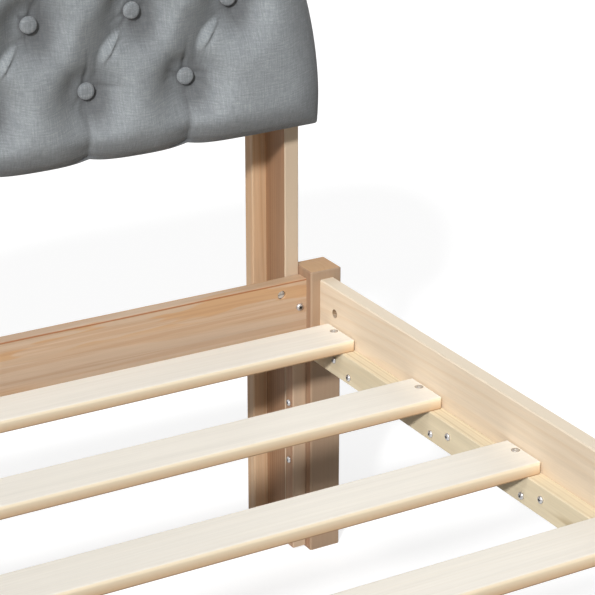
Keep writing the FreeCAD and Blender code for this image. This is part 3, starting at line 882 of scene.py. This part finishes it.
def sheet_grid(xs, zs):
    """Flat grid whose lines lie at the given places."""
    bm = bmesh.new()
    bmesh.ops.create_grid(bm, x_segments=len(xs) - 1, y_segments=len(zs) - 1, size=1.0)
    for vert in bm.verts:
        column = int(round((vert.co.x + 1) / 2 * (len(xs) - 1)))
        row = int(round((vert.co.y + 1) / 2 * (len(zs) - 1)))
        vert.co = (xs[column], 0.0, zs[row])
    return bm


# Tufting

def tuft_places():
    """Every button's place under its row and its column counted in half pitches."""
    places = {}
    for row in range(TUFT_ROWS):
        z = TUFT_FIRST_Z + row * TUFT_ROW_PITCH
        reach = TUFT_COLUMNS - 1 + row % 2
        for column in range(-reach, reach + 1, 2):
            x = column * TUFT_PITCH / 2
            past_x, past_z = abs(x) - ARC_X, z - ARC_Z
            if past_x <= 0 or past_z <= 0 or hypot(past_x, past_z) <= SHOULDER_RADIUS - TUFT_EDGE_ROOM:
                places[(row, column)] = (x, z)
    return places


def stray(places):
    """The buttons where a hand set them: a little off the grid, and drawn in from the panel's sides."""
    off, pull, still_x = 0.0008, 0.026, 0.54
    moved = {}
    for (row, column), (x, z) in places.items():
        drawn = pull * x * (1 - (x / still_x) ** 2) + (FIRST_ROW_SHIFT if row == 0 else 0.0)
        astray = x + drawn + draw(-off, off)
        moved[(row, column)] = (astray, z - BUTTON_DROP + draw(-off, off))
    return moved


def unit(value):
    """Value held between 0 and 1."""
    return np.clip(value, 0, 1)


def along_line(x, z, start, end, bow=0.0):
    """Share of the way along a line, signed distance from it, and distance from its nearest point."""
    run = np.array(end) - np.array(start)
    length = hypot(*run)
    run = run / length
    share = ((x - start[0]) * run[0] + (z - start[1]) * run[1]) / length
    held = unit(share)
    side = (x - start[0]) * run[1] - (z - start[1]) * run[0] - bow * np.sin(pi * held)
    past = (share - held) * length
    return held, side, np.hypot(side, past)


def smooth(value, low, high):
    """Eased step from 0 at low to 1 at high."""
    t = unit((value - low) / (high - low))
    return t * t * (3 - 2 * t)


def fold_depth(x, z, lower, upper, leaning, painted_shade):
    """Depth share of one fold between two buttons; a leaning one is deep and tucks a lip on its right."""
    held, side, away = along_line(x, z, upper, lower, draw(-0.0010, 0.0010))
    past = np.sqrt(np.maximum(away ** 2 - side ** 2, 0))
    swell = np.sin(pi * unit((held - LIP_START) / LIP_SPAN)) if leaning else 0.0 * held
    leaf = LIP_WIDTH * swell * draw(0.85, 1.1)
    side = side - leaf - LIP_BOW * swell
    away = np.hypot(side, past)
    right = 0.5 - 0.5 * side / np.maximum(away, 1e-6)
    middle = draw(0.12, 0.24) if leaning else draw(0.56, 0.70)
    strength = 1.0 - middle * np.sin(pi * held) ** 1.1
    slack = unit(1 - away / FOLD_REACH) ** 1.35
    plain = unit(1 - away / (FOLD_REACH * 0.84)) ** 1.45
    leaf = leaf + 0.0012
    wall = 1 - 0.62 * unit(away / leaf)
    rest = 0.44 * unit(1 - (away - leaf) / 0.044) ** 1.3
    dip = 0.13 * np.exp(-((away - leaf - 0.0030) / 0.0028) ** 2)
    beyond = smooth(away, leaf - 0.0005, leaf + 0.0016)
    lipped = wall * (1 - beyond) + (rest + dip) * beyond
    reach = smooth(held, 0.20, 0.34) * (1 - smooth(held, 0.46, 0.74)) * (1.0 if leaning else 0.0)
    lip = plain * (1 - reach) + lipped * reach
    # Painted shade: a dark line beside the lip and one along the fold's floor
    painted_shade += strength * reach * right * 0.55 * np.exp(-((away - leaf - 0.0014) / 0.0015) ** 2)
    painted_shade += strength * (0.25 if leaning else 0.08) * np.exp(-away / 0.0022)
    # Painted highlight: LIP_SHEEN takes painted shade off the lip's wall
    painted_shade -= LIP_SHEEN * reach * right * (1 - beyond) * unit(away / leaf) ** 0.5
    return strength * (slack * (1 - right) + lip * right)


def pleat_depth(x, z, start, end, painted_shade):
    """Depth share of a straight pleat from an outer button to the edge, steeper on its right."""
    held, side, away = along_line(x, z, start, end, draw(-0.0015, 0.0015))
    right = 0.5 - 0.5 * side / np.maximum(away, 1e-6)
    strength = 1.0 - 0.52 * smooth(held, 0.0, 0.6)
    slack = unit(1 - away / 0.046) ** 1.7
    steep = 0.55 * unit(1 - away / 0.040) ** 1.5 + 0.45 * np.exp(-away / 0.0055)
    # Painted shade along the pleat
    painted_shade += 0.45 * np.exp(-away / 0.0020) * (1 - 0.4 * held)
    return strength * (slack * (1 - right) + steep * right)


def notch(x, columns):
    """How far the cloth's foot is drawn up at the pleats, and bulges between them."""
    rise = np.full_like(x, -0.0013)
    for place in columns:
        rise = rise + 0.0048 * np.exp(-(np.abs(x - place) / 0.017) ** 1.15)
    return rise * (1 - smooth(np.abs(x), max(columns) + 0.012, PANEL_HALF - 0.01))


def crown(x, z):
    """Share of the pad's full rise, from its outline to its face, and the room to the outline."""
    def rise(distance, run):
        distance = np.maximum(distance, 0)
        quarter = np.sqrt(unit(1 - (1 - unit(distance / EDGE_ROUND)) ** 2))
        swell = unit((distance - EDGE_ROUND * 0.3) / run)
        part = 0.90 * EDGE_ROUND / PAD_RISE
        return part * quarter + (1 - part) * (1 - (1 - swell) ** 2.4)
    past_x = np.maximum(np.abs(x) - ARC_X, 0)
    past_z = np.maximum(z - ARC_Z, 0)
    shoulder = SHOULDER_RADIUS - np.hypot(past_x, past_z)
    above = np.where((past_x > 0) & (past_z > 0), shoulder, np.minimum(PANEL_HALF - np.abs(x), PANEL_TOP - z))
    below = z - PANEL_FOOT
    return rise(below, FOOT_RUN) * rise(above, SIDE_RUN), np.minimum(above, below)


def neighbours(places):
    """Pairs of buttons joined by a diagonal pleat: lower, upper, and whether it leans to the right."""
    pairs = []
    for (row, column), point in places.items():
        for lean in SIDES:
            other = places.get((row + 1, column + lean))
            if other:
                pairs.append((point, other, lean == 1))
    return pairs


def outward_pleats(places):
    """Pleats from the outermost buttons to the pad's foot and over its shoulders."""
    pleats = []
    for (row, column), (x, z) in places.items():
        if row == 0:
            pleats.append(((x, z), (x + draw(-0.003, 0.003), PANEL_FOOT - 0.004)))
        is_uppermost = not any((row + 1, column + lean) in places for lean in SIDES)
        if is_uppermost and (row > 0 or abs(column) < TUFT_COLUMNS - 1):
            end = Vector((x, PANEL_TOP + 0.004))
            if abs(x) > ARC_X:
                centre = Vector((copysign(ARC_X, x), min(z, ARC_Z)))
                end = centre + (Vector((x, z)) - centre).normalized() * (SHOULDER_RADIUS + 0.004)
            pleats.append(((x, z), tuple(end)))
    return pleats


def pull_marks(x, z, point, painted_shade, is_bottom):
    """Short drawn wrinkles round a button."""
    depth = np.zeros_like(x)
    angles = [draw(0, 2 * pi) for _ in range(4)]
    lengths = [draw(0.020, 0.034) for _ in angles]
    if is_bottom:
        angles += [radians(draw(84, 92)), radians(draw(6, 14))]
        lengths += [0.052, draw(0.020, 0.050)]
    for angle, length in zip(angles, lengths):
        start, end = ((point[0] + reach * cos(angle), point[1] + reach * sin(angle))
                      for reach in (0.008, length))
        held, _, away = along_line(x, z, start, end, draw(-0.0015, 0.0015))
        fade = (1 - held) ** 0.7
        depth += 0.0018 * fade * np.exp(-(away / 0.0026) ** 2)
        # Painted shade along the wrinkle
        painted_shade += 0.40 * fade * np.exp(-(away / 0.0016) ** 2)
    return depth


def tufted(x, z, places, painted_shade):
    """How deep the cloth lies below the crowned face."""
    total = np.zeros_like(x)
    for lower, upper, leaning in neighbours(places):
        total += fold_depth(x, z, lower, upper, leaning, painted_shade) ** FOLD_JOIN
    for start, end in outward_pleats(places):
        total += pleat_depth(x, z, start, end, painted_shade) ** FOLD_JOIN
    depth = FOLD_DEPTH * np.minimum(total ** (1 / FOLD_JOIN), 1.1)
    for (row, column), point in places.items():
        right, up = x - point[0], z - point[1]
        away = np.hypot(right, up)
        pull = np.exp(-(np.maximum(away - BUTTON_RADIUS * 0.9, 0) / 0.0215) ** 1.25)
        depth = depth + (TUFT_DEPTH - depth) * pull
        # Painted shade: a dark ring round each button, and a painted shadow in its well to the lower right
        painted_shade += 0.60 * (1 - smooth(np.abs(away - BUTTON_RADIUS), 0.0, 0.0032))
        well = ((right - WELL_SHIFT) / WELL_WIDTH) ** 2 + ((up + WELL_DROP) / WELL_HEIGHT) ** 2
        painted_shade += WELL_SHADE * np.exp(-well)
        depth = depth + pull_marks(x, z, point, painted_shade, row == 0)
    return depth


def ripple(x, z):
    """Faint unevenness of the stuffing, a fraction of a millimetre."""
    total = np.zeros_like(x)
    for _ in range(14):
        angle = draw(0, pi)
        size = draw(18, 85)
        phase = draw(0, 2 * pi)
        total += np.sin((x * cos(angle) + z * sin(angle)) * size + phase) / size
    return total * 0.008


def wrapped_sheet(columns):
    """Mesh of the flat face and its closed side, the face's vertex count, and how far vertices wrap round."""
    lifted_y, still_y = 0.9210, 0.9440
    bm = sheet_grid(spread(2 * PANEL_HALF) - PANEL_HALF, spread(PANEL_TOP - PANEL_FOOT) + PANEL_FOOT)
    front = len(bm.verts)
    edges = [e for e in bm.edges if e.is_boundary]
    rings = []
    for inset, y in SIDE_RINGS:
        verts, edges = extruded(bm, edges)
        rings.append((verts, inset, y))
    bm.verts.index_update()
    wraps = np.zeros(len(bm.verts), np.float32)
    for verts, inset, y in rings:
        rest = np.array([v.co for v in verts])
        px, pz = rim_points(rest[:, 0], rest[:, 2], inset)
        lift = notch(px, columns) * (1 - smooth(pz, PANEL_FOOT, PANEL_FOOT + 0.03))
        fade = 1 - smooth(y, lifted_y, still_y)
        for vert, vx, vz, rise in zip(verts, px, pz, lift):
            vert.co = (vx, y, vz + rise * fade)
            wraps[vert.index] = y - PAD_SIDE_Y + inset
    bmesh.ops.contextual_create(bm, geom=edges)
    return as_mesh("pad draft", bm), front, wraps


def headboard_pad(places, material):
    """Tufted pad: one cloth surface drawn over the face, round the sides and in behind the core."""
    columns = [x for (row, column), (x, z) in places.items() if row == 0]
    mesh, front, wraps = wrapped_sheet(columns)
    points = np.zeros(len(mesh.vertices) * 3)
    mesh.vertices.foreach_get("co", points)
    points = points.reshape(-1, 3)
    x, z = corner_mapped(points[:front, 0], points[:front, 2])
    share, room = crown(x, z)
    # dark collects the painted shade of the pad's face from the folds, wells and lines, and adds more with
    # depth
    dark = np.zeros(front)
    depth = tufted(x, z, places, dark)
    depth = depth * (0.45 + 0.55 * smooth(room, -0.002, 0.018)) * smooth(room, 0.0, 0.004)
    y = PAD_SIDE_Y - PAD_RISE * share + depth + ripple(x, z) * smooth(room, 0.0, 0.03)
    lift = notch(x, columns) * (1 - smooth(z, PANEL_FOOT, PANEL_FOOT + 0.034))
    fullness = share * unit(1 - depth / TUFT_DEPTH) * smooth(room, 0.004, 0.050)
    dark += 0.46 * smooth(depth, 0.35 * TUFT_DEPTH, 1.05 * TUFT_DEPTH)
    dark = unit(dark) * smooth(room, 0.0, 0.01)
    # More painted shade: along the pad's foot and on the border near its sides
    dark = np.maximum(dark, 1 - smooth(z, PANEL_FOOT, PANEL_FOOT + 0.042))
    dark = np.maximum(dark, 0.95 * (1 - smooth(room, 0.0, 0.050)))
    # Painted shade on the side wrapped round the panel, darkest near the foot
    behind = 0.8 * (1 - smooth(points[front:, 2], PANEL_FOOT + 0.004, PANEL_FOOT + 0.030))
    flat = points[front:, [0, 2]]
    outward = flat - np.array([0.0, 0.70])
    outward = outward / np.maximum(np.linalg.norm(outward, axis=1, keepdims=True), 1e-6)
    side_uv = flat + outward * wraps[front:, None]
    uv = np.concatenate([np.stack([x, z], axis=1), side_uv])
    points[:front] = np.stack([x, y, z + lift - SAG * fullness], axis=1)
    mesh.vertices.foreach_set("co", points.ravel())
    loops = np.zeros(len(mesh.loops), int)
    mesh.loops.foreach_get("vertex_index", loops)
    mesh.uv_layers.new(name="cloth").data.foreach_set("uv", uv[loops].ravel())
    painted_shade = mesh.attributes.new("painted_shade", "FLOAT", "POINT")
    painted_shade.data.foreach_set("value", np.concatenate([dark, behind]))
    bm = bmesh.new()
    bm.from_mesh(mesh)
    bpy.data.meshes.remove(mesh)
    piece = new_piece("headboard_upholstery", bm, [material])
    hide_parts("headboard_pad")


def covered_buttons(places, material):
    """Flat discs under cloth with rounded rims, each set a little askew."""
    profile = ((0.0, -0.0020), (0.86, -0.0020), (0.97, -0.0006), (1.0, 0.0012), (0.985, 0.0024),
               (0.93, 0.0035), (0.80, 0.0042), (0.50, 0.0046), (0.2, 0.0047), (0.0, 0.0047))
    disc = spun_profile([(BUTTON_RADIUS * share, height) for share, height in profile], 28)
    template = as_mesh("button template", disc)
    bm = bmesh.new()
    for x, z in places.values():
        way = Vector((draw(-0.07, 0.07), 1.0, draw(-0.07, 0.07)))
        seat = (x, PAD_SIDE_Y - PAD_RISE + TUFT_DEPTH - 0.0008, z)
        placed(bm, template, seat, way, draw(0, pi))
    bpy.data.meshes.remove(template)
    piece = new_piece("covered_buttons", bm, [material])
    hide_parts("headboard_buttons")


def lining(material):
    """Lining cloth stretched over the panel's back, with its edge turned under and stapled."""
    pucker_pitch, pucker_rise, thickness = 0.055, 0.00012, 0.0003
    half, height = PANEL_HALF - LINING_INSET, PANEL_TOP - PANEL_FOOT - 2 * LINING_INSET
    bm = sheet_grid(np.linspace(-PANEL_HALF, PANEL_HALF, 141), np.linspace(PANEL_FOOT, PANEL_TOP, 50))
    rest = np.array([v.co for v in bm.verts])
    x = rest[:, 0] * half / PANEL_HALF
    z = PANEL_FOOT + LINING_INSET + (rest[:, 2] - PANEL_FOOT) * height / (PANEL_TOP - PANEL_FOOT)
    x, z = corner_mapped(x, z, LINING_INSET)
    pucker = pucker_rise
    for place in (x, z):
        pucker = pucker * np.sin(place * 2 * pi / pucker_pitch)
    for vert, vx, vz, rise in zip(bm.verts, x, z, pucker):
        vert.co = (vx, LINING_Y + rise, vz)
    piece = new_piece("headboard_lining", bm, [material])
    wall = piece.modifiers.new("cloth", "SOLIDIFY")
    wall.thickness = thickness
    wall.offset = 0.0
    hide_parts("headboard_back_cover")


def lining_border():
    """Places of the staples along the outline, each with its direction."""
    high, radius = PANEL_TOP - STAPLE_INSET, SHOULDER_RADIUS - STAPLE_INSET
    found = []
    for reach, z in ((PANEL_HALF - STAPLE_INSET - 0.02, PANEL_FOOT + STAPLE_INSET), (ARC_X, high)):
        count = int(2 * reach / STAPLE_PITCH)
        for step in range(count + 1):
            found.append(((-reach + 2 * reach * step / count, z), draw(-0.15, 0.15)))
    count = int(radius * pi / 2 / STAPLE_PITCH)
    for side in SIDES:
        for step in range(1, count + 1):
            angle = pi / 2 * step / count
            place = (side * (ARC_X + radius * sin(angle)), high - radius + radius * cos(angle))
            found.append((place, -side * angle + draw(-0.15, 0.15)))
    return found


def staples(material):
    """Wire staples that hold the lining, one every few centimetres along its edge."""
    part = bmesh.new()
    bmesh.ops.create_cube(part, size=1.0)
    bmesh.ops.scale(part, verts=part.verts, vec=(0.0105, 0.0012, 0.0007))
    bmesh.ops.bevel(part, geom=part.edges, offset=0.00022, offset_type="OFFSET", segments=1, profile=0.5,
                    affect="EDGES", material=-1)
    template = as_mesh("staple template", part)
    bm = bmesh.new()
    for (x, z), angle in lining_border():
        turn = Matrix.Rotation(-angle, 4, "Y") @ Matrix.Rotation(pi / 2, 4, "X")
        stamped(bm, template, Matrix.Translation((x, STAPLE_Y, z)) @ turn)
    bpy.data.meshes.remove(template)
    new_piece("lining_staples", bm, [material], smooth=False)


def upholster():
    """The soft pieces of the headboard."""
    places = stray(tuft_places())
    headboard_pad(places, linen("linen_pad", (142, 147, 150), True))
    # The buttons' yarn is darker than the pad's: painted shade of the wells they sit in
    covered_buttons(places, linen("linen_buttons", (133, 137, 140), False))
    lining(felt())
    staples(zinc("staple_wire", (205, 206, 208), (150, 150, 150), 0.25, 0.3))
    dress("headboard_core", plywood())


# Stage

WHITE = (1, 1, 1, 1)
FLOOR_TONE = (0.40, 0.40, 0.40, 1)
FLOOR_GLOW = 0.76
WORLD_LIGHT = 0.13


def white_for_lens(tree):
    """1 where the camera, or a reflection, looks; 0 where a surface is being lit."""
    path = add(tree, "LightPath").outputs
    return larger(larger(path["Is Camera Ray"], path["Is Glossy Ray"]), path["Is Transmission Ray"])


def lamp(name, towards, power, angle):
    """Sun that shines from the given direction, as wide as the angle in degrees."""
    light = bpy.data.lights.new(name, "SUN")
    light.energy = power
    light.angle = radians(angle)
    in_scene(name, light).rotation_euler = Vector(towards).to_track_quat("Z", "Y").to_euler()


def stage():
    """Pale floor, white surround, lamps and camera."""
    bm = bmesh.new()
    bmesh.ops.create_grid(bm, x_segments=1, y_segments=1, size=14.0)
    floor = in_scene("floor", as_mesh("floor", bm))
    material = bpy.data.materials.new("floor")
    tree = clean_tree(material)
    pale = add(tree, "BsdfDiffuse", {"Color": FLOOR_TONE})
    strength = times(white_for_lens(tree), FLOOR_GLOW)
    glow = add(tree, "Emission", {"Color": WHITE, "Strength": strength})
    both = add(tree, "AddShader", {0: pale.outputs[0], 1: glow.outputs[0]})
    add(tree, "OutputMaterial", {0: both.outputs[0]})
    floor.data.materials.append(material)

    world = bpy.data.worlds.new("surround")
    bpy.context.scene.world = world
    tree = clean_tree(world)
    strength = times_plus(white_for_lens(tree), 1 - WORLD_LIGHT, WORLD_LIGHT)
    background = add(tree, "Background", {0: WHITE, 1: strength})
    add(tree, "OutputWorld", {0: background.outputs[0]})

    lamp("key", (-0.60, -0.61, 0.52), 3.00, angle=5.0)
    lamp("skylight", (-0.45, -0.25, 0.86), 1.00, angle=32.0)
    lamp("rear", (0.72, 0.58, 0.38), 0.80, angle=40.0)

    camera = bpy.data.cameras.new("camera")
    camera.lens = CAMERA_LENS
    camera.clip_start = 0.05
    camera.clip_end = 60.0
    holder = in_scene("camera", camera)
    holder.location = CAMERA_PLACE
    holder.rotation_euler = [radians(a) for a in CAMERA_TURN]
    bpy.context.scene.camera = holder
    bpy.context.scene.view_settings.view_transform = "Standard"


dress_boards()
fasten()
upholster()
stage()
